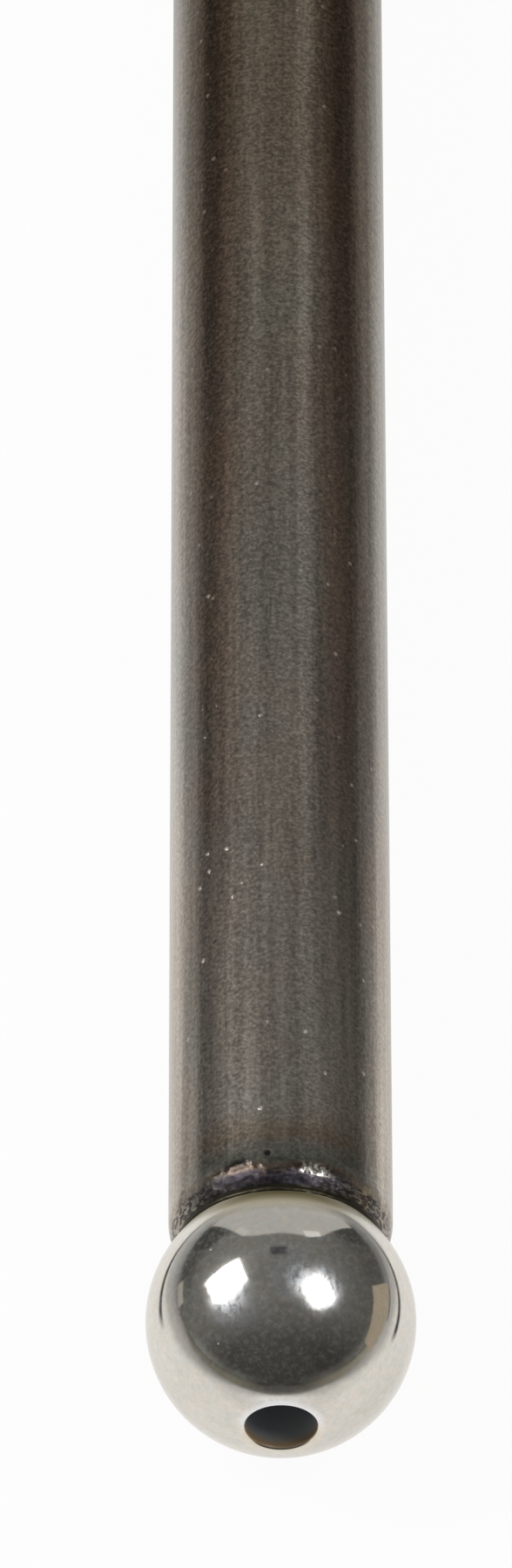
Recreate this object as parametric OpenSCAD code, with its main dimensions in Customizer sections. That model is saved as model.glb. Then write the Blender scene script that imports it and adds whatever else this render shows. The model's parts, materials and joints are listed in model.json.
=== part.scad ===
// Engine pushrod: a hollow steel tube with a drilled, polished ball welded to each end.
// The rod lies along +Y. The origin is the centre of the lifter-end ball. Millimetres.

/* [Tube] */
// Length over both balls, taken as if their oil holes were not drilled
overall_length = 198; // [150:0.5:300]
// Outside diameter of the tube
tube_od = 7.94; // [6.4:0.01:9]
// Thickness of the tube's wall
tube_wall = 1.65; // [1.2:0.05:2.4]
// Radius that rounds each end of the tube in towards its ball
tube_nose_radius = 1.9; // [0.8:0.1:3]

/* [Ball ends] */
// Diameter of each ball
ball_d = 9.525; // [8:0.005:12]
// Diameter of the oil hole drilled through each ball
oil_hole_d = 2.5; // [1.5:0.02:3.6]
// Width of the chamfer that breaks the edge at each mouth of the oil hole
oil_hole_chamfer = 0.15; // [0.05:0.01:0.3]

/* [Weld] */
// How far in from the tube's outside the weld line lies, where the tube's nose meets the ball
weld_inset = 0.42; // [0.2:0.02:0.7]
// Diameter of the bead of metal that the weld squeezes out along that line
weld_bead_d = 0.3; // [0.15:0.05:0.5]

/* [Hidden] */
$fn = 96;

tube_r = tube_od / 2;
bore_r = tube_r - tube_wall;
ball_r = ball_d / 2;
oil_hole_r = oil_hole_d / 2;

// Distance between the centres of the two balls
ball_span = overall_length - ball_d;

// Radius of the weld line, and its distance from the ball's centre along the rod
weld_r = tube_r - weld_inset;
weld_y = sqrt(ball_r ^ 2 - weld_r ^ 2);

// Where the nose begins: its circle touches the tube's outside there and passes through the weld line
nose_y = weld_y + sqrt(tube_nose_radius ^ 2 - (tube_nose_radius - weld_inset) ^ 2);

// Distance from the ball's centre to the rim of the oil hole's chamfer
mouth_y = sqrt(ball_r ^ 2 - (oil_hole_r + oil_hole_chamfer) ^ 2);

// Turns a profile, drawn with its radius along X and the rod's axis along Y, about the rod's axis
module turned() {
    rotate([-90, 0, 0]) rotate_extrude() children();
}

// A profile at the origin's end of the rod, and its mirror image at the other end
module both_ends() {
    children();
    translate([0, ball_span]) mirror([0, 1]) children();
}

// What the nose takes off the tube's outer corner
module nose_offcut() {
    centre = [tube_r - tube_nose_radius, nose_y];
    difference() {
        translate([centre.x, nose_y - tube_nose_radius]) square(tube_nose_radius);
        translate(centre) circle(tube_nose_radius);
    }
}

// Wall of the tube from the weld line to past the middle, where the two halves run into each other
module half_wall() {
    difference() {
        translate([bore_r, weld_y]) square([tube_wall, ball_span / 2]);
        nose_offcut();
    }
}

// Weld metal in the corner between the ball and the tube's nose
module weld_bead() {
    translate([weld_r, weld_y]) circle(d = weld_bead_d);
}

module tube() {
    color([0.27, 0.25, 0.23]) turned() difference() {
        both_ends() {
            half_wall();
            weld_bead();
        }
        both_ends() circle(ball_r);
    }
}

// What the chamfer takes off the mouth of the oil hole
module mouth_offcut() {
    translate([oil_hole_r, mouth_y]) polygon(oil_hole_chamfer * [[-1, -2], [2, 1], [-1, 1]]);
}

module drilled_ball() {
    color([0.78, 0.76, 0.72]) turned() difference() {
        intersection() {
            circle(ball_r);
            translate([oil_hole_r, -ball_r]) square([ball_r, ball_d]);
        }
        mouth_offcut();
        mirror([0, 1]) mouth_offcut();
    }
}

module lifter_end_ball() {
    drilled_ball();
}

module rocker_end_ball() {
    translate([0, ball_span, 0]) drilled_ball();
}

tube();
lifter_end_ball();
rocker_end_ball();
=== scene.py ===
"""Looks of an engine pushrod: a drawn steel tube with a polished, drilled ball welded to each end."""

import json
import math

import bpy
import numpy as np
from mathutils import Matrix, Vector, noise


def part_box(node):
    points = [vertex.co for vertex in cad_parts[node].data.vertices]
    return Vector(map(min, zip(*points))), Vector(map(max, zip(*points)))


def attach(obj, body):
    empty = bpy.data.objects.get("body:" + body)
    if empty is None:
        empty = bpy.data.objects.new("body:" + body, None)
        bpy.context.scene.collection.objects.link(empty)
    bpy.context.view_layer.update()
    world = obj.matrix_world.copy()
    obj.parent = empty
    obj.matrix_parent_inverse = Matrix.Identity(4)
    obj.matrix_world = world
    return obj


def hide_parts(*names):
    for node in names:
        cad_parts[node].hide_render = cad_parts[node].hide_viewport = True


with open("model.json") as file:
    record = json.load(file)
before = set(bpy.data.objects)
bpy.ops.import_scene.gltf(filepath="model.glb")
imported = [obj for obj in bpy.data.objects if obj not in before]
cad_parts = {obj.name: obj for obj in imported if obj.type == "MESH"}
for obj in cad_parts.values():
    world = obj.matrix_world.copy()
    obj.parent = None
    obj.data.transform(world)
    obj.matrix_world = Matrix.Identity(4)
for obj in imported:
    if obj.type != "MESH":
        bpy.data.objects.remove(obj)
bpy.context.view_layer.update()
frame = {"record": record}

# Sizes of the rod, in millimetres. The driving ones come from the frame.
MM = 0.001
ball_low, ball_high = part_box("lifter_end_ball")
far_ball_low, far_ball_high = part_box("rocker_end_ball")
tube_low, tube_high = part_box("tube")
BALL_R = (ball_high.x - ball_low.x) / 2 / MM
BALL_SPAN = (far_ball_low.y + far_ball_high.y - ball_low.y - ball_high.y) / 2 / MM
TUBE_R = (tube_high.x - tube_low.x) / 2 / MM
HOLE_R = next(m["dims"]["r_mm"] for m in frame["record"]["mounts"] if m["name"] == "lifter_oil_hole")
TUBE_WALL = 1.65
TUBE_NOSE_R = 1.9
WELD_INSET = 0.42
WELD_BEAD_R = 0.15
HOLE_EDGE_R = 0.15

# Where the tube's nose begins and where it meets the ball, from the ball's centre
BORE_R = TUBE_R - TUBE_WALL
WELD_R = TUBE_R - WELD_INSET
WELD_Y = math.sqrt(BALL_R ** 2 - WELD_R ** 2)
NOSE_Y = WELD_Y + math.sqrt(TUBE_NOSE_R ** 2 - (TUBE_NOSE_R - WELD_INSET) ** 2)

# Ripples that the weld leaves on each nose: where they begin and are full, along the rod and up or down its
# wall, their height, and the scales of the two noises that shape them
RIPPLE_Y = (NOSE_Y + 0.1, NOSE_Y - 0.6)
RIPPLE_Z = (0.5 * TUBE_R, 0.9 * TUBE_R)
RIPPLE_HEIGHT = 0.016
RIPPLE_SCALES = (4.5, 1.7)

# A pit that the weld left in the tube's wall
WELD_PIT = (-0.47, NOSE_Y + 0.13, TUBE_R)
WELD_PIT_R = 0.18
WELD_PIT_DEPTH = 0.012

# Where the weld's marks end, from the ball's centre along the rod, and how far they stay off the ball
WELD_MARKS_END = NOSE_Y + 1.1
SEAT_MARGIN = 0.02

# The photograph's frame, and where the ball lies in it, in pixels
PHOTO_W = 588
PHOTO_H = 1800
BALL_PIXEL = (321.9, 1518.2)
BALL_R_PIXELS = 155.6
FOCAL_PIXELS = 14600

# The camera: angles, sensor in millimetres, and the nearest it sees in metres
CAMERA_TILT = math.radians(51.6)
CAMERA_ROLL = math.radians(-0.065)
SENSOR = 36
CAMERA_NEAR = 0.01

# Mesh fineness: segments round the rod, rings along each stretch, and the length of wall that has fine rings
TUBE_SEGMENTS = 576
FINE_WALL = 4
FINE_WALL_RINGS = 26
MIDDLE_RINGS = 16
NOSE_RINGS = 24
BEAD_RINGS = 8
SEAT_RINGS = 3
BALL_SEGMENTS = 256
BALL_RINGS = 160
MOUTH_RINGS = 10
HOLE_RINGS = 12
SHARP_ANGLE = math.radians(50)


class Graph:
    """A node tree with short ways to add nodes. A value that is a socket is linked, and any other is set."""

    def __init__(self, owner):
        owner.use_nodes = True
        self.tree = owner.node_tree
        self.tree.nodes.clear()

    def add(self, kind, inputs=None, **settings):
        """A new node. inputs holds what feeds it, by the sockets' names or numbers."""
        node = self.tree.nodes.new(kind)
        for name, value in settings.items():
            setattr(node, name, value)
        for socket, value in (inputs or {}).items():
            self.feed(node.inputs[socket], value)
        return node

    def feed(self, socket, value):
        if isinstance(value, bpy.types.NodeSocket):
            self.tree.links.new(value, socket)
        else:
            socket.default_value = (*value, 1) if socket.type == "RGBA" else value

    def math(self, operation, a, b=0.0):
        return self.add("ShaderNodeMath", {0: a, 1: b}, operation=operation).outputs[0]

    def product(self, *values):
        result = values[0]
        for value in values[1:]:
            result = self.math("MULTIPLY", result, value)
        return result

    def total(self, *values):
        result = values[0]
        for value in values[1:]:
            result = self.math("ADD", result, value)
        return result

    def scaled(self, vector, scale):
        return self.add("ShaderNodeVectorMath", {0: vector, 1: scale}, operation="MULTIPLY").outputs[0]

    def distance(self, vector, point):
        return self.add("ShaderNodeVectorMath", {0: vector, 1: point}, operation="DISTANCE").outputs["Value"]

    def parts(self, vector):
        """The three parts of a vector."""
        return tuple(self.add("ShaderNodeSeparateXYZ", {0: vector}).outputs)

    def place(self):
        """The point's own place in metres."""
        return self.add("ShaderNodeTexCoord").outputs["Object"]

    def noise(self, vector, scale, detail=2.0, roughness=0.5, distortion=0.0):
        inputs = {"Vector": vector, "Scale": scale, "Detail": detail}
        inputs.update({"Roughness": roughness, "Distortion": distortion})
        return self.add("ShaderNodeTexNoise", inputs).outputs["Fac"]

    def cells(self, vector, scale):
        """Distance to the nearest of many scattered points."""
        return self.add("ShaderNodeTexVoronoi", {"Vector": vector, "Scale": scale}).outputs["Distance"]

    def span(self, value, low, high, to_low=0.0, to_high=1.0, smooth=False):
        """value taken from low..high to to_low..to_high, and held at those ends."""
        inputs = {"Value": value, "From Min": low, "From Max": high, "To Min": to_low, "To Max": to_high}
        curve = "SMOOTHSTEP" if smooth else "LINEAR"
        return self.add("ShaderNodeMapRange", inputs, interpolation_type=curve).outputs["Result"]

    def fade(self, value, full, gone, level=1.0, smooth=False):
        """level where value is under full, falling to 0 at gone."""
        return self.span(value, full, gone, level, 0.0, smooth)

    def band(self, value, start, end):
        """1 between two ranges, rising over the first and falling over the second."""
        return self.product(self.span(value, *start), self.fade(value, *end))

    def shades(self, value, low, high, stops):
        """The colour at value, from stops of (value, colour) that lie between low and high."""
        node = self.add("ShaderNodeValToRGB", {"Fac": self.span(value, low, high)})
        elements = node.color_ramp.elements
        while len(elements) < len(stops):
            elements.new(0.5)
        for element, (at, colour) in zip(elements, stops):
            element.position = (at - low) / (high - low)
            element.color = (*colour, 1)
        return node.outputs["Color"]

    def mix(self, share, a, b, blend="MIX"):
        node = self.add("ShaderNodeMix", {"Factor": share}, data_type="RGBA", blend_type=blend)
        colours = [socket for socket in node.inputs if socket.type == "RGBA"]
        for socket, colour in zip(colours, (a, b)):
            self.feed(socket, colour)
        return next(socket for socket in node.outputs if socket.type == "RGBA")

    def tinted(self, colour, tint, share=1.0):
        """colour times tint, as far as share says."""
        return self.mix(share, colour, tint, "MULTIPLY")

    def bump(self, height, strength, distance, below=None):
        inputs = {"Strength": strength, "Distance": distance, "Height": height}
        if below is not None:
            inputs["Normal"] = below
        return self.add("ShaderNodeBump", inputs).outputs["Normal"]

    def shader(self, kind, inputs=None):
        return self.add(kind, inputs).outputs[0]

    def mixed(self, share, a, b):
        """A mix of two shaders."""
        return self.shader("ShaderNodeMixShader", {0: share, 1: a, 2: b})

    def finish(self, surface, kind="ShaderNodeOutputMaterial"):
        self.add(kind, {"Surface": surface})


class RodGraph(Graph):
    """A node tree for the rod's steel. It holds the point's place, and its distance along the rod from the
    nearer ball's centre, in millimetres."""

    def __init__(self, owner):
        super().__init__(owner)
        self.point = self.scaled(self.place(), (1 / MM, 1 / MM, 1 / MM))
        self.x, self.y, self.z = self.parts(self.point)
        from_middle = self.math("ABSOLUTE", self.math("SUBTRACT", self.y, BALL_SPAN / 2))
        self.from_ball = self.math("SUBTRACT", BALL_SPAN / 2, from_middle)


# Meshes

def on_circle(centre, radius, turn):
    return (centre[0] + radius * math.cos(turn), centre[1] + radius * math.sin(turn))


def arc(centre, radius, start, end, steps):
    """Points (radius, y) on an arc, without its last one."""
    return [on_circle(centre, radius, turn) for turn in np.linspace(start, end, steps, endpoint=False)]


def line(start, end, steps):
    """Points (radius, y) on a straight line, without its last one."""
    return [tuple(point) for point in np.linspace(start, end, steps, endpoint=False)]


def lathe(name, loop, segments, lift=None):
    """Turns a closed loop of (radius, y) points about the rod's axis. lift gives each point's move along its
    normal."""
    loop = np.array(loop)
    along = np.roll(loop, -1, 0) - np.roll(loop, 1, 0)
    normal = np.stack([along[:, 1], -along[:, 0]], 1)
    normal /= np.linalg.norm(normal, axis=1)[:, None]
    turns = np.arange(segments) * 2 * math.pi / segments

    def turned(pairs):
        radius, y = pairs[:, 0, None], pairs[:, 1, None]
        return np.stack([radius * np.sin(turns), y + 0 * turns, radius * np.cos(turns)], 2)

    points = turned(loop)
    if lift is not None:
        points = points + turned(normal) * lift(points)[:, :, None]
    rows, columns = np.meshgrid(np.arange(len(loop)), np.arange(segments), indexing="ij")
    next_row, next_column = (rows + 1) % len(loop), (columns + 1) % segments
    corners = [(rows, columns), (rows, next_column), (next_row, next_column), (next_row, columns)]
    faces = np.stack([row * segments + column for row, column in corners], 2)
    mesh = bpy.data.meshes.new(name)
    mesh.from_pydata((points.reshape(-1, 3) * MM).tolist(), [], faces.reshape(-1, 4).tolist())
    mesh.shade_smooth()
    mesh.set_sharp_from_angle(angle=SHARP_ANGLE)
    piece = bpy.data.objects.new(name, mesh)
    bpy.context.scene.collection.objects.link(piece)
    return piece


def tube_end():
    """One end of the tube's section, as (radius, distance from the ball's centre), from the wall in to the
    bore."""
    wall_steps = np.linspace(1, 0, FINE_WALL_RINGS, endpoint=False)
    wall = [(TUBE_R, NOSE_Y + FINE_WALL * step ** 2) for step in wall_steps]
    weld_turn = math.acos(1 - WELD_INSET / TUBE_NOSE_R)
    nose_turn = weld_turn - 2 * math.asin(WELD_BEAD_R / 2 / TUBE_NOSE_R)
    nose_centre = (TUBE_R - TUBE_NOSE_R, NOSE_Y)
    nose = arc(nose_centre, TUBE_NOSE_R, 0, -nose_turn, NOSE_RINGS)
    nose_end = on_circle(nose_centre, TUBE_NOSE_R, -nose_turn)
    foot_turn = math.atan2(WELD_Y, WELD_R) - 2 * math.asin(WELD_BEAD_R / 2 / BALL_R)
    foot = on_circle((0, 0), BALL_R, foot_turn)
    bead_start, bead_end = [math.atan2(y - WELD_Y, radius - WELD_R) for radius, y in (nose_end, foot)]
    bead = arc((WELD_R, WELD_Y), WELD_BEAD_R, bead_start, bead_end, BEAD_RINGS)
    bore_turn = math.acos(BORE_R / BALL_R)
    seat = arc((0, 0), BALL_R, foot_turn, bore_turn, SEAT_RINGS)
    return wall + nose + bead + seat + [on_circle((0, 0), BALL_R, bore_turn)]


def rise(value, low, high):
    """0 at low and 1 at high, and held at those ends."""
    return min(1, max(0, (value - low) / (high - low)))


def weld_lift(points):
    """Ripples that the weld leaves on each nose, and a pit in the wall beside the near one."""
    pit = Vector(WELD_PIT)
    lift = np.zeros(points.shape[:2])
    for i, j in np.ndindex(lift.shape):
        place = Vector(points[i, j])
        from_ball = min(place.y, BALL_SPAN - place.y)
        in_seat = math.hypot(place.x, place.z, from_ball) < BALL_R + SEAT_MARGIN
        if from_ball > WELD_MARKS_END or in_seat:
            continue
        ripples = RIPPLE_HEIGHT * sum(noise.noise(place * scale) for scale in RIPPLE_SCALES)
        lift[i, j] = ripples * rise(from_ball, *RIPPLE_Y) * rise(abs(place.z), *RIPPLE_Z)
        lift[i, j] -= WELD_PIT_DEPTH * max(0, 1 - (place - pit).length_squared / WELD_PIT_R ** 2)
    return lift


def make_tube():
    end = tube_end()
    near = list(reversed(end))
    far = [(radius, BALL_SPAN - y) for radius, y in end]
    middle = line(near[-1], far[0], MIDDLE_RINGS)[1:]
    return lathe("drawn_tube", near + middle + far, TUBE_SEGMENTS, weld_lift)


def make_ball(name, centre_y):
    """A ball with an oil hole through it along the rod and a rounded edge at each mouth."""
    mouth_r = HOLE_R + HOLE_EDGE_R
    mouth_y = math.sqrt((BALL_R - HOLE_EDGE_R) ** 2 - mouth_r ** 2)
    mouth_turn = math.atan2(mouth_y, mouth_r)
    outside = arc((0, 0), BALL_R, -mouth_turn, mouth_turn, BALL_RINGS)
    far_mouth = arc((mouth_r, mouth_y), HOLE_EDGE_R, mouth_turn, math.pi, MOUTH_RINGS)
    hole = line((HOLE_R, mouth_y), (HOLE_R, -mouth_y), HOLE_RINGS)
    near_mouth = arc((mouth_r, -mouth_y), HOLE_EDGE_R, math.pi, 2 * math.pi - mouth_turn, MOUTH_RINGS)
    loop = [(radius, y + centre_y) for radius, y in outside + far_mouth + hole + near_mouth]
    return lathe(name, loop, BALL_SEGMENTS)


# Materials

WHITE = (1.0, 1.0, 1.0)


def grey(level):
    return (level, level, level)


# Colours of the drawn tube: its dark and pale grain, and what tints them near the ball and far from it: a
# mottle, a painted shade far from the ball, and a painted reflection band along each side
GRAIN_SHARE = 0.6
STEEL_DARK = (0.34, 0.32, 0.295)
STEEL_PALE = (0.78, 0.745, 0.70)
BLOTCH_COOL = (0.985, 0.995, 0.99)
BLOTCH_WARM = (1.04, 0.97, 0.93)
# Painted shade: far from the ball the tube is tinted darker, less so at its sides
PAINTED_SHADE_NEAR = (0.92, 0.92, 0.90)
PAINTED_SHADE_FAR = (0.46, 0.42, 0.355)
PAINTED_SHADE_FAR_SIDES = (0.62, 0.60, 0.56)
MOTTLE_DARK = grey(0.87)
MOTTLE_PALE = grey(1.13)
# Painted reflection: a band along each side of the tube, lighter, and warmer far from the ball, over its dark
# reflected bands
REFLECTION_BAND_NEAR = grey(1.18)
REFLECTION_BAND_FAR = (1.18, 0.99, 0.91)

# Where those tints change: from the ball's centre along the rod, and from the rod's axis to the side
DARKER = (8, 55)
MOTTLED = (12, 45)
BROWNER = (8, 30)
SIDES = (0.75 * TUBE_R, 0.95 * TUBE_R)
REFLECTION_BAND_START = (0.3 * TUBE_R, 0.5 * TUBE_R)
REFLECTION_BAND_END = (0.6 * TUBE_R, 0.85 * TUBE_R)

# Colour that the weld's heat leaves on the steel, by distance from the ball's centre along the rod, and how
# far that distance wanders
HEAT_START = 3.0
HEAT_END = 7.0
HEAT_WANDER = 0.12
HEAT_COLOURS = [
    (3.25, (0.06, 0.055, 0.035)),
    (3.38, (0.10, 0.097, 0.112)),
    (3.6, (0.13, 0.115, 0.15)),
    (3.7, (0.20, 0.18, 0.22)),
    (3.8, (0.19, 0.165, 0.185)),
    (3.93, (0.26, 0.205, 0.19)),
    (4.08, (0.48, 0.38, 0.33)),
    (4.2, (0.55, 0.53, 0.50)),
    (4.3, (0.56, 0.60, 0.58)),
    (4.6, (0.62, 0.66, 0.64)),
    (4.95, (0.70, 0.68, 0.66)),
    (5.38, (0.74, 0.64, 0.55)),
    (5.9, (0.86, 0.81, 0.74)),
    (6.6, WHITE),
]

# Oxide is thick on top of the nose and underneath, and thin at its sides, where this tint hides most of it
OXIDE_Z = (0.52 * TUBE_R, 0.92 * TUBE_R)
OXIDE_END = (NOSE_Y - 0.6, NOSE_Y - 0.3)
SIDE_TINT = (0.8, 0.78, 0.74)
SIDE_TINT_SHARE = 0.8

# Painted shade on top of the near nose, most of it over the left lamp's highlight, which it dims: place to
# the side and along the rod, reach, how dark it leaves the steel, and how far from the ball's centre it
# begins. The core is the share of the reach that is darkest.
HIGHLIGHT_DIMMING = [
    ((-1.5, 4.12), 0.38, 0.25, 3.9),
    ((-0.6, 4.65), 0.7, 0.9, 3.9),
    ((-1.6, 3.9), 0.6, 0.55, 3.2),
    ((-2.3, 3.6), 0.6, 0.4, 3.2),
]
HIGHLIGHT_DIMMING_STRETCH = 0.6
HIGHLIGHT_DIMMING_CORE = 0.4
HIGHLIGHT_DIMMING_EDGE = 0.1

# Dark scale on the nose, bare flakes on the right of its crest, and the bead. START and END are from the
# ball's centre along the rod, and LEFT and RIGHT from the rod's axis.
SCALE_COLOUR = (0.03, 0.028, 0.034)
SCALE_END = (3.78, 3.9)
SCALE_SHARE = 0.8
FLAKE_COLOUR = (0.72, 0.69, 0.65)
FLAKES_START = (3.7, 3.78)
FLAKES_END = (4.1, 4.25)
FLAKES_LEFT = (0.6, 0.8)
FLAKES_RIGHT = (1.6, 1.8)
BEAD_COLOUR = (0.05, 0.045, 0.03)
BEAD_END = (WELD_Y + 0.12, WELD_Y + 0.2)

# Pale specks, small pits and the weld's pit
SPECK_COLOUR = (0.52, 0.50, 0.44)
SPECK_R = (0.06, 0.12)
SPECK_WANDER = 0.06
SPECKS_START = (5, 6.5)
SPECKS_THIN = (15, 35)
SPECKS_FAR = 0.45
SMALL_PIT_COLOUR = (0.10, 0.09, 0.08)
SMALL_PIT_R = (0.02, 0.04)
SMALL_PIT_SHARE = 0.6
WELD_PIT_COLOUR = (0.02, 0.018, 0.018)
WELD_PIT_SHADE = (0.4 * WELD_PIT_R, 1.5 * WELD_PIT_R)

# How the tube reflects: roughness of its grain, what is added to that or taken off it, how metallic the
# specks are, and how much less metallic the scale at the nose's sides is
TUBE_ROUGHNESS = (0.17, 0.25)
OXIDE_ROUGHNESS = 0.26
FLAKE_DULL = 0.3
WELD_PIT_ROUGHNESS = 0.5
NOSE_POLISH = 0.06
NOSE_POLISH_END = (4.4, 5.0)
SPECK_METALLIC = 0.4
SIDE_SCALE = 0.2
SIDE_SCALE_START = (1.7, 2.6)
SIDE_SCALE_END = (4.2, 4.6)


def drawn_steel(graph, aside, grain, streaks):
    """Colour of the tube away from its welds, with a painted shade far from the ball and a painted reflection
    band along each side.
    """
    shade = graph.total(graph.product(grain, GRAIN_SHARE), graph.product(streaks, 1 - GRAIN_SHARE))
    steel = graph.mix(graph.span(shade, low=0.36, high=0.64), STEEL_DARK, STEEL_PALE)
    blotches = graph.noise(graph.scaled(graph.point, (1, 0.5, 1)), scale=0.35, detail=3.0)
    blotches = graph.mix(graph.span(blotches, low=0.35, high=0.65), BLOTCH_COOL, BLOTCH_WARM)
    steel = graph.tinted(steel, blotches)
    # Painted shade that darkens the tube far from the ball, less so at its sides
    far_painted_shade = graph.mix(graph.span(aside, *SIDES), PAINTED_SHADE_FAR, PAINTED_SHADE_FAR_SIDES)
    steel = graph.tinted(steel, graph.mix(graph.span(graph.from_ball, *DARKER), PAINTED_SHADE_NEAR, far_painted_shade))
    mottle = graph.noise(graph.point, scale=3.5, detail=3.0, roughness=0.7)
    mottle = graph.mix(graph.span(mottle, low=0.4, high=0.6), MOTTLE_DARK, MOTTLE_PALE)
    steel = graph.tinted(steel, mottle, graph.span(graph.from_ball, *MOTTLED))
    # Painted reflection band along each side of the tube
    brown = graph.mix(graph.span(graph.from_ball, *BROWNER), REFLECTION_BAND_NEAR, REFLECTION_BAND_FAR)
    return graph.tinted(steel, brown, graph.band(aside, REFLECTION_BAND_START, REFLECTION_BAND_END))


def heated(graph, steel, thick):
    """steel with the colours of the weld's heat and a painted shade over the left lamp's highlight. thick is
    1 where the oxide is thick.
    """
    wander = graph.noise(graph.point, scale=1.1, detail=3.0)
    wander = graph.span(wander, low=0.3, high=0.7, to_low=-HEAT_WANDER, to_high=HEAT_WANDER)
    tint = graph.shades(graph.total(graph.from_ball, wander), HEAT_START, HEAT_END, HEAT_COLOURS)
    thin = graph.math("SUBTRACT", 1.0, thick)
    tint = graph.mix(graph.product(thin, SIDE_TINT_SHARE), tint, SIDE_TINT)
    steel = graph.tinted(steel, tint)
    # Painted shade that dims the left lamp's highlight on the near nose
    stretched = graph.scaled(graph.point, (HIGHLIGHT_DIMMING_STRETCH, 1, HIGHLIGHT_DIMMING_STRETCH))
    for (x, along), reach, dark, start in HIGHLIGHT_DIMMING:
        middle = (HIGHLIGHT_DIMMING_STRETCH * x, along, HIGHLIGHT_DIMMING_STRETCH * math.sqrt(TUBE_R ** 2 - x ** 2))
        in_reach = graph.fade(graph.distance(stretched, middle), HIGHLIGHT_DIMMING_CORE * reach, reach)
        dimming = graph.product(in_reach, graph.span(graph.from_ball, start, start + HIGHLIGHT_DIMMING_EDGE))
        steel = graph.tinted(steel, grey(dark), dimming)
    return steel


def welded(graph, steel, thick):
    """steel with the weld's scale, bare flakes and bead, and how dull they leave it."""
    scale = graph.noise(graph.scaled(graph.point, (0.6, 1.4, 0.6)), scale=7.0, detail=3.0, roughness=0.6)
    scale_end = graph.fade(graph.from_ball, *SCALE_END, SCALE_SHARE)
    scale = graph.product(graph.span(scale, low=0.47, high=0.53), scale_end)
    steel = graph.mix(scale, steel, SCALE_COLOUR)
    on_crest = graph.band(graph.from_ball, FLAKES_START, FLAKES_END)
    on_right = graph.band(graph.x, FLAKES_LEFT, FLAKES_RIGHT)
    flakes = graph.span(graph.noise(graph.point, scale=5.0), low=0.44, high=0.5)
    flakes = graph.product(flakes, on_crest, on_right)
    steel = graph.mix(flakes, steel, FLAKE_COLOUR)
    bead = graph.fade(graph.from_ball, *BEAD_END)
    steel = graph.mix(bead, steel, BEAD_COLOUR)
    oxide = graph.product(thick, graph.fade(graph.from_ball, *OXIDE_END))
    off_flakes = graph.span(flakes, 0, 1, 1.0, FLAKE_DULL)
    return steel, graph.product(graph.math("MAXIMUM", oxide, bead), off_flakes)


def tube_specks(graph, grain):
    """1 in the pale specks, which are scattered in patches."""
    wander = graph.span(grain, low=0.3, high=0.7, to_low=-SPECK_WANDER, to_high=SPECK_WANDER)
    specks = graph.fade(graph.total(graph.cells(graph.point, scale=1.25), wander), *SPECK_R)
    patches = graph.span(graph.noise(graph.point, scale=0.45), low=0.48, high=0.56)
    start = graph.span(graph.from_ball, *SPECKS_START)
    thinner = graph.span(graph.from_ball, *SPECKS_THIN, 1.0, SPECKS_FAR)
    return graph.product(specks, patches, start, thinner)


def tube_material():
    """Dark drawn steel with grain, streaks, specks, and oxide and heat colours beside each weld."""
    material = bpy.data.materials.new("drawn_steel")
    graph = RodGraph(material)
    aside = graph.math("ABSOLUTE", graph.x)
    thick = graph.span(graph.math("ABSOLUTE", graph.z), *OXIDE_Z, smooth=True)
    grain = graph.noise(graph.point, scale=7.0, detail=4.0, roughness=0.65)
    streaks = graph.noise(graph.scaled(graph.point, (1, 0.03, 1)), scale=2.4, detail=4.0, roughness=0.6)

    steel = drawn_steel(graph, aside, grain, streaks)
    steel, dull = welded(graph, heated(graph, steel, thick), thick)
    speck = tube_specks(graph, grain)
    steel = graph.mix(speck, steel, SPECK_COLOUR)
    off_small_pit = graph.cells(graph.scaled(graph.point, (1, 0.8, 1)), scale=0.33)
    small_pit = graph.fade(off_small_pit, *SMALL_PIT_R)
    steel = graph.mix(graph.product(small_pit, SMALL_PIT_SHARE), steel, SMALL_PIT_COLOUR)
    weld_pit = graph.fade(graph.distance(graph.point, WELD_PIT), *WELD_PIT_SHADE, smooth=True)
    steel = graph.mix(weld_pit, steel, WELD_PIT_COLOUR)

    side_scale = graph.fade(graph.from_ball, *SIDE_SCALE_END, SIDE_SCALE)
    side_scale = graph.product(graph.span(aside, *SIDE_SCALE_START), side_scale)
    metallic = graph.math("SUBTRACT", graph.span(speck, 0, 1, 1.0, SPECK_METALLIC), side_scale)
    rough = graph.total(graph.span(grain, 0.3, 0.7, *TUBE_ROUGHNESS), graph.product(dull, OXIDE_ROUGHNESS))
    rough = graph.math("SUBTRACT", rough, graph.fade(graph.from_ball, *NOSE_POLISH_END, NOSE_POLISH))
    bumped = graph.bump(grain, strength=0.3, distance=0.02 * MM)
    bumped = graph.bump(speck, strength=0.4, distance=0.04 * MM, below=bumped)
    graph.finish(graph.shader("ShaderNodeBsdfPrincipled", {
        "Base Color": steel,
        "Metallic": metallic,
        "Roughness": graph.total(rough, graph.product(weld_pit, WELD_PIT_ROUGHNESS)),
        "Normal": graph.bump(streaks, strength=0.2, distance=0.03 * MM, below=bumped),
    }))
    return material


# Colours of the balls: clear and hazy polish, scuffs, dust, and what the film and the stains tint them with
POLISH_CLEAR = (0.73, 0.715, 0.68)
POLISH_HAZY = (0.69, 0.675, 0.64)
SCUFF_COLOUR = (0.68, 0.70, 0.74)
FILM_DARK = (0.90, 0.92, 0.895)
FILM_PALE = (1.09, 1.06, 1.06)
STAIN_WARM = (1.026, 0.996, 0.968)
STAIN_COOL = (0.978, 1.008, 1.018)
DUST_COLOUR = (0.8, 0.79, 0.76)
DUST_R = (0.03, 0.05)
DUST_SHARE = 0.6
SOIL_SHARE = 0.11

# Scuffed patches of the ball in view: direction from its centre, and reach in millimetres. The core is the
# share of the reach that is scuffed most.
SCUFFS = [((0.30, -0.32, 0.90), 1.3), ((0.12, -0.27, 0.955), 1.15), ((-0.36, -0.44, 0.82), 1.2)]
SCUFF_CORE = 0.3

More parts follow.
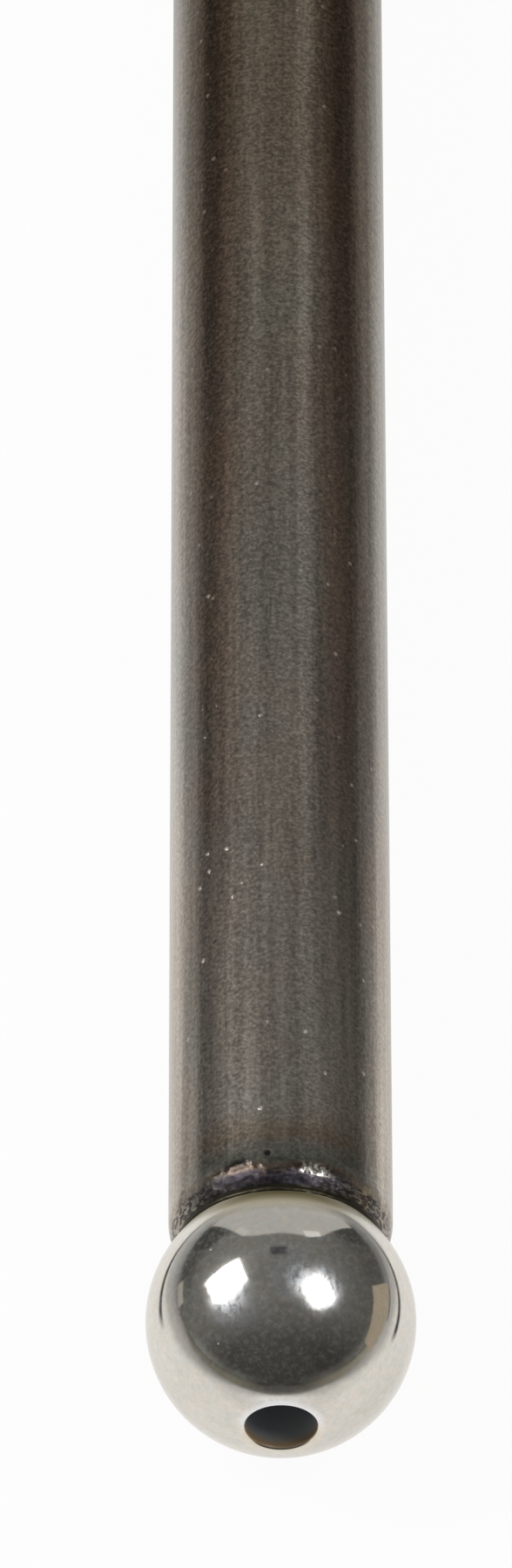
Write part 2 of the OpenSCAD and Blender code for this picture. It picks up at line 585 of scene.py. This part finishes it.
# Straw colour that the weld's heat leaves on the ball, by distance from its centre along the rod
STRAW_PALE = (0.70, 0.67, 0.58)
STRAW_DEEP = (0.50, 0.46, 0.35)
STRAW_START = (1.8, 2.3)
STRAW_DEEPER = (2.2, 2.8)
STRAW_DULL = 0.8
STRAW_ROUGH = (1.9, 2.6)
STRAW_ROUGHNESS = 0.36

# Tint on top of the ball beside the weld and underneath, by distance from its centre along the rod
CONTACT_START = 1.6
CONTACT_END = 3.2
CONTACT_Z = (3.0, 3.8)
CONTACT_COLOURS = [
    (1.6, WHITE),
    (2.17, (0.77, 0.72, 0.60)),
    (2.5, (0.50, 0.46, 0.33)),
    (2.86, (0.34, 0.30, 0.18)),
    (3.2, (0.25, 0.21, 0.12)),
]

# The oil hole, by distance from its axis and from the ball's centre, and a painted highlight round its rim,
# bluish white on top and warmer below, by height
HOLE_WALL = (HOLE_R + 0.01, HOLE_R + 0.05)
HOLE_LIP = (BALL_R - 0.75, BALL_R - 0.35)
HOLE_DEEP_COLOUR = (0.40, 0.44, 0.47)
HOLE_LIP_COLOUR = (0.40, 0.26, 0.13)
HOLE_ROUGHNESS = 0.6
# Painted highlight round the oil hole's rim
RIM_HIGHLIGHT = (HOLE_R + HOLE_EDGE_R, HOLE_R + 2.5 * HOLE_EDGE_R)
RIM_HIGHLIGHT_Z = (-0.4, 0.6)
RIM_HIGHLIGHT_LOW_COLOUR = (0.76, 0.71, 0.61)
RIM_HIGHLIGHT_HIGH_COLOUR = (0.88, 0.89, 0.93)

# How the balls reflect: roughness of clear and hazy polish, what scuffs add to it, and a coat that is
# stronger on the scuffs
BALL_ROUGHNESS = (0.06, 0.11)
SCUFF_ROUGHNESS = 0.2
COAT_WEIGHT = (0.15, 0.8)
COAT_IOR = 2.0
COAT_ROUGHNESS = 0.3


def polished_steel(graph, haze, worn):
    """Colour of a ball away from its weld and its oil hole. worn is 1 where it is scuffed."""
    tone = graph.mix(graph.span(haze, low=0.35, high=0.65), POLISH_CLEAR, POLISH_HAZY)
    tone = graph.mix(worn, tone, SCUFF_COLOUR)
    film = graph.noise(graph.point, scale=3.5, detail=5.0, roughness=0.7)
    tone = graph.tinted(tone, graph.mix(graph.span(film, low=0.3, high=0.7), FILM_DARK, FILM_PALE))
    stain = graph.noise(graph.point, scale=2.5, detail=4.0, roughness=0.7)
    return graph.tinted(tone, graph.mix(graph.span(stain, low=0.4, high=0.6), STAIN_WARM, STAIN_COOL))


def ball_heated(graph, tone):
    """tone with the colours that the weld leaves on the ball beside it."""
    straw = graph.mix(graph.span(graph.from_ball, *STRAW_DEEPER), STRAW_PALE, STRAW_DEEP)
    tone = graph.mix(graph.span(graph.from_ball, *STRAW_START), tone, straw)
    contact = graph.shades(graph.from_ball, CONTACT_START, CONTACT_END, CONTACT_COLOURS)
    return graph.tinted(tone, contact, graph.span(graph.math("ABSOLUTE", graph.z), *CONTACT_Z, smooth=True))


def ball_material():
    """Polished steel with scuffs and a little soil, straw colour beside the weld, a dull oil hole, and a
    painted highlight round the hole's rim.
    """
    material = bpy.data.materials.new("polished_steel")
    graph = RodGraph(material)
    haze = graph.noise(graph.point, scale=0.7, detail=4.0, roughness=0.6)
    scratches = graph.scaled(graph.point, (1.0, 0.5, 1.0))
    scratches = graph.noise(scratches, scale=4.5, detail=4.0, roughness=0.65, distortion=0.6)
    scuffed = 0.0
    for towards, reach in SCUFFS:
        middle = tuple(BALL_R * part for part in towards)
        patch = graph.fade(graph.distance(graph.point, middle), SCUFF_CORE * reach, reach)
        scuffed = graph.math("MAXIMUM", scuffed, patch)
    hazy = graph.product(scuffed, graph.span(scratches, low=0.3, high=0.6, to_low=0.4))
    worn = graph.product(scuffed, graph.span(scratches, low=0.36, high=0.54, to_low=0.35))
    tone = ball_heated(graph, polished_steel(graph, haze, worn))

    from_axis = graph.distance(graph.scaled(graph.point, (1, 0, 1)), (0, 0, 0))
    # Painted highlight round the oil hole's rim, strongest and bluish on top
    rim_highlight = graph.mix(graph.span(graph.z, *RIM_HIGHLIGHT_Z), RIM_HIGHLIGHT_LOW_COLOUR, RIM_HIGHLIGHT_HIGH_COLOUR)
    tone = graph.mix(graph.fade(from_axis, *RIM_HIGHLIGHT), tone, rim_highlight)
    dust = graph.fade(graph.cells(graph.point, scale=0.9), *DUST_R, DUST_SHARE)
    tone = graph.mix(dust, tone, DUST_COLOUR)
    in_hole = graph.fade(from_axis, *HOLE_WALL)
    lip = graph.span(graph.math("ABSOLUTE", graph.from_ball), *HOLE_LIP)
    tone = graph.mix(in_hole, tone, graph.mix(lip, HOLE_DEEP_COLOUR, HOLE_LIP_COLOUR))

    soil = graph.noise(graph.point, scale=5.0, detail=5.0, roughness=0.75)
    soil = graph.span(soil, low=0.46, high=0.64, to_high=SOIL_SHARE)
    dull = graph.math("MAXIMUM", dust, soil)
    dull = graph.math("MAXIMUM", in_hole, dull)
    dull = graph.math("MAXIMUM", dull, graph.span(graph.from_ball, *STRAW_START, 0.0, STRAW_DULL))
    rough = graph.total(graph.span(haze, 0.35, 0.7, *BALL_ROUGHNESS), graph.product(worn, SCUFF_ROUGHNESS),
                        graph.span(graph.from_ball, *STRAW_ROUGH, 0.0, STRAW_ROUGHNESS))
    graph.finish(graph.shader("ShaderNodeBsdfPrincipled", {
        "Base Color": tone,
        "Metallic": graph.math("SUBTRACT", 1.0, dull),
        "Roughness": graph.math("MAXIMUM", rough, graph.product(in_hole, HOLE_ROUGHNESS)),
        "Coat Weight": graph.span(hazy, 0, 1, *COAT_WEIGHT),
        "Coat IOR": COAT_IOR,
        "Coat Roughness": COAT_ROUGHNESS,
        "Normal": graph.bump(scratches, strength=0.03, distance=0.02 * MM),
    }))
    return material


# The studio

# The floor: half its width in metres, how white it is, the share of light that it scatters, and how much of
# its white is its own glow, in reflections and to the camera
FLOOR_HALF = 8
FLOOR_WHITE = 1.0
FLOOR_SCATTER = 0.9
FLOOR_GLOW = (0.75, 0.95)

# Level of the floor in reflections, by distance to the side of the rod and in front of it, in millimetres.
# Beside and before the ball the light reaches twice as far as it does beside the tube.
FLOOR_REACH = 220
FLOOR_SIDE_LEVELS = [
    (0, 1.0), (10, 1.0), (13, 0.78), (16, 0.58), (36, 0.42), (60, 0.34), (92, 0.28), (200, 0.15),
]
FLOOR_FRONT_LEVELS = [(0, 1.0), (12, 0.97), (21, 0.8), (28, 0.66), (38, 0.52), (44, 0.18), (60, 0.10)]
FLOOR_TUBE_Y = (5, 35)
FLOOR_BALL_SHARE = 0.48

# Its tint by the ball, and its level on the right of the tube
FLOOR_TINT = (1.0, 0.975, 0.945)
FLOOR_BEHIND = (15, 35)
FLOOR_RIGHT = 0.68
FLOOR_RIGHT_X = (5, 15)

# Its level before the screen, behind the ball and close to the rod
FLOOR_SCREEN = (0.5, 0.49, 0.47)
FLOOR_SCREEN_SLANT = (0.48, 0.6)
FLOOR_SCREEN_Y = (50, 110)

# Its least level in front of the rod on each side, to the right and towards the horizon. A slant is the
# distance to the side over the distance along the rod.
FLOOR_FAR_FRONT = (0.22, 0.205, 0.165)
FLOOR_FAR_RIGHT = (0.36, 0.34, 0.27)
FLOOR_HORIZON = (0.145, 0.14, 0.122)
FLOOR_FRONT_SLANT = (0.1, 0.7)
FLOOR_RIGHT_SLANT = (0.6, 2.0)
FLOOR_FRONT_Y = (15, 25)
FLOOR_HORIZON_DISTANCE = (80, 350)

# A painted pool of light: the paper is brightest in front of the rod
LIGHT_POOL = (0.0, -27.0, 0.0)
LIGHT_POOL_R = (5.6, 14.0)

# Painted shadow lines on the paper, seen in reflections: two along the edges of the rod's shadow, and one at
# the right card's foot. Each has its place to the side, where along the rod it begins, half width and level.
# The core is the share of the half width that is darkest.
SHADOW_LINES = [(-17.0, 2.0, 2.2, 0.05), (19.5, -1.5, 2.2, 0.05), (46.0, 3.0, 4.0, 0.12)]
SHADOW_LINE_CORE = 0.4
SHADOW_LINE_START = 3
SHADOW_LINE_FADE = (14, 32)
SHADOW_LINE_FAR = 0.3


def floor_level(graph):
    """Colour of the paper in reflections: it darkens away from the rod, as the light does."""
    point = graph.scaled(graph.place(), (1 / MM, 1 / MM, 1 / MM))
    x, y, _ = graph.parts(point)
    aside = graph.math("ABSOLUTE", x)
    before = graph.product(y, -1.0)

    def levels(distance, stops):
        return graph.shades(distance, 0, FLOOR_REACH, [(reach, grey(level)) for reach, level in stops])

    side = graph.product(aside, graph.span(y, *FLOOR_TUBE_Y, FLOOR_BALL_SHARE, 1.0))
    level = graph.tinted(levels(side, FLOOR_SIDE_LEVELS), levels(before, FLOOR_FRONT_LEVELS))
    behind = graph.span(y, *FLOOR_BEHIND)
    level = graph.tinted(level, graph.mix(behind, FLOOR_TINT, WHITE))
    level = graph.tinted(level, grey(FLOOR_RIGHT), graph.product(behind, graph.span(x, *FLOOR_RIGHT_X)))

    slant = graph.math("DIVIDE", aside, graph.math("MAXIMUM", y, 1.0))
    before_screen = graph.product(graph.fade(slant, *FLOOR_SCREEN_SLANT), graph.span(y, *FLOOR_SCREEN_Y))
    level = graph.mix(before_screen, level, FLOOR_SCREEN)

    slant = graph.math("DIVIDE", x, graph.math("MAXIMUM", before, 1.0))
    far_level = graph.mix(graph.span(slant, *FLOOR_RIGHT_SLANT), FLOOR_FAR_FRONT, FLOOR_FAR_RIGHT)
    far_off = graph.span(graph.distance(point, (0, 0, 0)), *FLOOR_HORIZON_DISTANCE)
    far_level = graph.mix(far_off, far_level, FLOOR_HORIZON)
    off_front = graph.span(graph.math("ABSOLUTE", slant), *FLOOR_FRONT_SLANT, smooth=True)
    off_front = graph.product(off_front, graph.span(before, *FLOOR_FRONT_Y))
    level = graph.mix(off_front, level, graph.mix(1.0, level, far_level, "LIGHTEN"))

    # Painted pool of light in front of the rod
    from_light_pool = graph.distance(graph.scaled(point, (1, 1, 0)), LIGHT_POOL)
    level = graph.mix(graph.fade(from_light_pool, *LIGHT_POOL_R), level, WHITE)
    # Painted shadow lines
    for shadow_x, start, half, dark in SHADOW_LINES:
        off_shadow_line = graph.math("ABSOLUTE", graph.math("SUBTRACT", x, shadow_x))
        in_shadow_line = graph.product(graph.fade(off_shadow_line, SHADOW_LINE_CORE * half, half),
                                  graph.span(y, start, start + SHADOW_LINE_START),
                                  graph.span(y, *SHADOW_LINE_FADE, 1.0, SHADOW_LINE_FAR))
        level = graph.tinted(level, grey(dark), in_shadow_line)
    return level


def floor_material():
    """White paper that keeps a faint shadow. In reflections it has the levels of floor_level."""
    material = bpy.data.materials.new("floor_paper")
    graph = Graph(material)
    path = graph.add("ShaderNodeLightPath").outputs
    seen = graph.math("MAXIMUM", path["Is Camera Ray"], path["Is Glossy Ray"])
    seen = graph.math("MAXIMUM", seen, path["Is Transmission Ray"])
    level = graph.mix(path["Is Camera Ray"], floor_level(graph), WHITE)
    lit = graph.shader("ShaderNodeBsdfDiffuse", {"Color": graph.tinted(level, grey(FLOOR_SCATTER))})
    glow = graph.shader("ShaderNodeEmission", {"Color": level, "Strength": FLOOR_WHITE})
    share = graph.product(seen, graph.span(path["Is Camera Ray"], 0, 1, *FLOOR_GLOW))
    graph.finish(graph.mixed(share, lit, glow))
    return material


def glow_material(name, colour, fade=None):
    """An even glow. fade is the heights between which it thins out to nothing, in metres."""
    material = bpy.data.materials.new(name)
    graph = Graph(material)
    surface = graph.shader("ShaderNodeEmission", {"Color": colour})
    if fade:
        height = graph.parts(graph.place())[2]
        clear = graph.shader("ShaderNodeBsdfTransparent")
        surface = graph.mixed(graph.span(height, *fade, smooth=True), surface, clear)
    graph.finish(surface)
    return material


def plane(name, corners):
    mesh = bpy.data.meshes.new(name)
    mesh.from_pydata(corners, [], [range(len(corners))])
    piece = bpy.data.objects.new(name, mesh)
    bpy.context.scene.collection.objects.link(piece)
    return piece


def rectangle(first, second):
    """Corners of a rectangle between two values each way."""
    return [(first[0], second[0]), (first[1], second[0]), (first[1], second[1]), (first[0], second[1])]


def make_floor():
    sides = (-FLOOR_HALF, FLOOR_HALF)
    corners = [(x, y, -BALL_R * MM) for x, y in rectangle(sides, sides)]
    plane("floor", corners).data.materials.append(floor_material())


# Cards for the ball to mirror, in metres. Outlines are (x, z) for those across the rod, and (y, z) for those
# beside it. The screen has an arched top.
SCREEN_Y = 0.6
SCREEN_X = 0.01
SCREEN_HALF = 0.356
SCREEN_CORNER = 0.43
SCREEN_ARCH = 0.15
SCREEN_ARCH_POWER = 6
SCREEN_STEPS = 25
PATCH_Y = SCREEN_Y - 0.01
SHADOW_SHEET_Y = 0.2
LEFT_CARD_X = -0.15
RIGHT_CARD_X = 0.052


def across(y, outline):
    return [(x, y, z) for x, z in outline]


def beside(x, outline):
    return [(x, y, z) for y, z in outline]


def screen_outline():
    outline = [(SCREEN_X - SCREEN_HALF, 0), (SCREEN_X + SCREEN_HALF, 0)]
    for side in np.linspace(1, -1, SCREEN_STEPS):
        arch = SCREEN_ARCH * (1 - side ** SCREEN_ARCH_POWER)
        outline.append((SCREEN_X + SCREEN_HALF * side, SCREEN_CORNER + arch))
    return outline


# A dark bar above the rod, tilted: its ends, and its lower and upper edges as (y, z)
BAR_X = (-0.082, 0.05)
BAR_LOW = (0.314, 0.511)
BAR_HIGH = (0.246, 0.547)
DARK_BAR = [(BAR_X[0], *BAR_LOW), (BAR_X[1], *BAR_LOW), (BAR_X[1], *BAR_HIGH), (BAR_X[0], *BAR_HIGH)]

PALE_PATCH = [(0.18, 0.47), (0.30, 0.40), (0.35, 0.46), (0.29, 0.55), (0.24, 0.58)]
LEFT_PATCH = [(-0.34, 0.31), (-0.275, 0.295), (-0.245, 0.46), (-0.33, 0.48)]
LEFT_CARD = rectangle((0.029, 0.072), (-0.004, 0.012))
RIGHT_CARD = [(-0.018, -0.0045), (0.027, -0.0045), (0.016, 0.013), (-0.018, 0.005)]
# Painted shadow sheets beside the rod
SHADOW_SHEET_LEFT = rectangle((-0.12, -0.21), (0, 0.12))
SHADOW_SHEET_RIGHT = rectangle((0.124, 0.19), (0, 0.12))

# Name, corners and colour, and the heights between which it fades
CARDS = [
    ("screen", across(SCREEN_Y, screen_outline()), (0.51, 0.50, 0.48), None),
    ("pale_patch", across(PATCH_Y, PALE_PATCH), (0.84, 0.83, 0.82), None),
    ("left_patch", across(PATCH_Y, LEFT_PATCH), (0.62, 0.61, 0.59), None),
    ("dark_bar", DARK_BAR, (0.06, 0.06, 0.07), None),
    ("left_card", beside(LEFT_CARD_X, LEFT_CARD), (0.42, 0.39, 0.35), None),
    ("right_card", beside(RIGHT_CARD_X, RIGHT_CARD), (0.40, 0.34, 0.26), None),
    # Painted shadow: dark sheets, fading out upwards, that the ball mirrors as the shade on the floor beside
    # the rod
    ("dark_left", across(SHADOW_SHEET_Y, SHADOW_SHEET_LEFT), (0.06, 0.06, 0.058), (0.07, 0.12)),
    ("dark_right", across(SHADOW_SHEET_Y, SHADOW_SHEET_RIGHT), (0.058, 0.057, 0.054), (0.065, 0.12)),
]


def make_card(name, corners, colour, fade):
    """A glowing or dark card for the ball to mirror, out of the camera's sight."""
    card = plane(name, corners)
    card.data.materials.append(glow_material(name + "_paper", colour, fade))
    card.visible_camera = False


# Lamps: name, azimuth, elevation and roll in degrees, and sides in metres. Azimuth 0 is behind the rod, and
# 90 is to the right.
SOFTBOX_DISTANCE = 0.45
SOFTBOX_RADIANCE = 9.0
SOFTBOXES = [
    ("softbox_left", -77.2, 44.6, 30, (0.165, 0.234)),
    ("softbox_right", 101.3, 58.1, 54.6, (0.152, 0.137)),
]


def make_softbox(name, azimuth, elevation, roll, sides):
    """A lamp that faces the ball, as bright in it whatever the lamp's size."""
    azimuth, elevation = math.radians(azimuth), math.radians(elevation)
    level = math.cos(elevation)
    towards = Vector((math.sin(azimuth) * level, math.cos(azimuth) * level, math.sin(elevation)))
    lamp = bpy.data.lights.new(name, "AREA")
    lamp.shape = "RECTANGLE"
    lamp.size, lamp.size_y = sides
    lamp.energy = SOFTBOX_RADIANCE * math.pi * lamp.size * lamp.size_y
    piece = bpy.data.objects.new(name, lamp)
    turn = towards.to_track_quat("Z", "Y").to_matrix() @ Matrix.Rotation(math.radians(roll), 3, "Z")
    piece.matrix_world = Matrix.Translation(towards * SOFTBOX_DISTANCE) @ turn.to_4x4()
    piece.visible_camera = False
    bpy.context.scene.collection.objects.link(piece)


# The room's colour by how far up the direction points, and its levels by direction: each is a range, and the
# levels at its ends. X is to the right, Y away from the camera and Z up.
ROOM_COLOURS = [
    (0.0, (0.13, 0.128, 0.12)),
    (0.25, (0.14, 0.138, 0.13)),
    (0.5, (0.17, 0.168, 0.16)),
    (0.8, (0.21, 0.208, 0.2)),
    (1.0, (0.17, 0.168, 0.16)),
]
ROOM_FRONT_Y = (-0.72, -0.2, 0.42, 1.0)
ROOM_SIDE_X = (-0.8, 0.8, 1.12, 0.75)
ROOM_GLOW_X = (0.1, 0.6, 0.0, 1.0)
ROOM_GLOW_Y = (-0.4, -0.1, 1.0, 0.0)
ROOM_GLOW_Z = (-0.02, 0.13, 1.5, 0.0)
ROOM_DARK_X = (0.2, 0.6, 1.0, 0.35)
ROOM_DARK_Y = (0.1, 0.5, 0.0, 1.0)
ROOM_DARK_Z = (0.15, 0.36, 0.42, 0.0)


def make_world():
    """A dim room for reflections, darker in front, to the right and low behind, with a glow low in front on
    each side, and a white background."""
    world = bpy.data.worlds.new("studio")
    bpy.context.scene.world = world
    graph = Graph(world)
    x, y, z = graph.parts(graph.add("ShaderNodeTexCoord").outputs["Generated"])
    room = graph.shades(z, 0, 1, ROOM_COLOURS)
    glow = graph.product(graph.span(graph.math("ABSOLUTE", x), *ROOM_GLOW_X, smooth=True),
                         graph.span(y, *ROOM_GLOW_Y), graph.span(z, *ROOM_GLOW_Z, smooth=True))
    dark = graph.product(graph.span(z, *ROOM_DARK_Z), graph.span(y, *ROOM_DARK_Y),
                         graph.span(x, *ROOM_DARK_X))
    level = graph.product(graph.span(y, *ROOM_FRONT_Y), graph.total(1.0, glow),
                          graph.span(x, *ROOM_SIDE_X), graph.math("SUBTRACT", 1.0, dark))
    camera_ray = graph.add("ShaderNodeLightPath").outputs["Is Camera Ray"]
    sky = graph.shader("ShaderNodeBackground", {
        "Color": graph.mix(camera_ray, room, grey(FLOOR_WHITE)),
        "Strength": graph.math("MAXIMUM", camera_ray, level),
    })
    graph.finish(sky, "ShaderNodeOutputWorld")


def make_camera():
    """Places the camera by the ball's place and size in the photograph."""
    forward = Vector((0, math.cos(CAMERA_TILT), -math.sin(CAMERA_TILT)))
    up = Vector((0, math.sin(CAMERA_TILT), math.cos(CAMERA_TILT)))
    right = forward.cross(up)
    depth = FOCAL_PIXELS * BALL_R / BALL_R_PIXELS
    across_frame = (BALL_PIXEL[0] - PHOTO_W / 2) * depth / FOCAL_PIXELS
    down_frame = (BALL_PIXEL[1] - PHOTO_H / 2) * depth / FOCAL_PIXELS
    lens = bpy.data.cameras.new("camera")
    lens.sensor_width = SENSOR
    lens.lens = SENSOR * FOCAL_PIXELS / PHOTO_H
    lens.clip_start = CAMERA_NEAR
    camera = bpy.data.objects.new("camera", lens)
    camera.location = (up * down_frame - forward * depth - right * across_frame) * MM
    turn = Matrix((right, up, -forward)).transposed() @ Matrix.Rotation(CAMERA_ROLL, 3, "Z")
    camera.rotation_euler = turn.to_euler()
    bpy.context.scene.collection.objects.link(camera)
    bpy.context.scene.camera = camera


make_camera()
make_world()
make_floor()
for card in CARDS:
    make_card(*card)
for softbox in SOFTBOXES:
    make_softbox(*softbox)

polished = ball_material()
pieces = {
    "tube": (make_tube(), tube_material(), "tube_steel"),
    "lifter_end_ball": (make_ball("lifter_ball", 0), polished, "ball_steel"),
    "rocker_end_ball": (make_ball("rocker_ball", BALL_SPAN), polished, "ball_steel"),
}
for node, (piece, material, slot) in pieces.items():
    piece.data.materials.append(material)
    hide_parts(node)
    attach(piece, "root")

bpy.context.scene.view_settings.view_transform = "Standard"
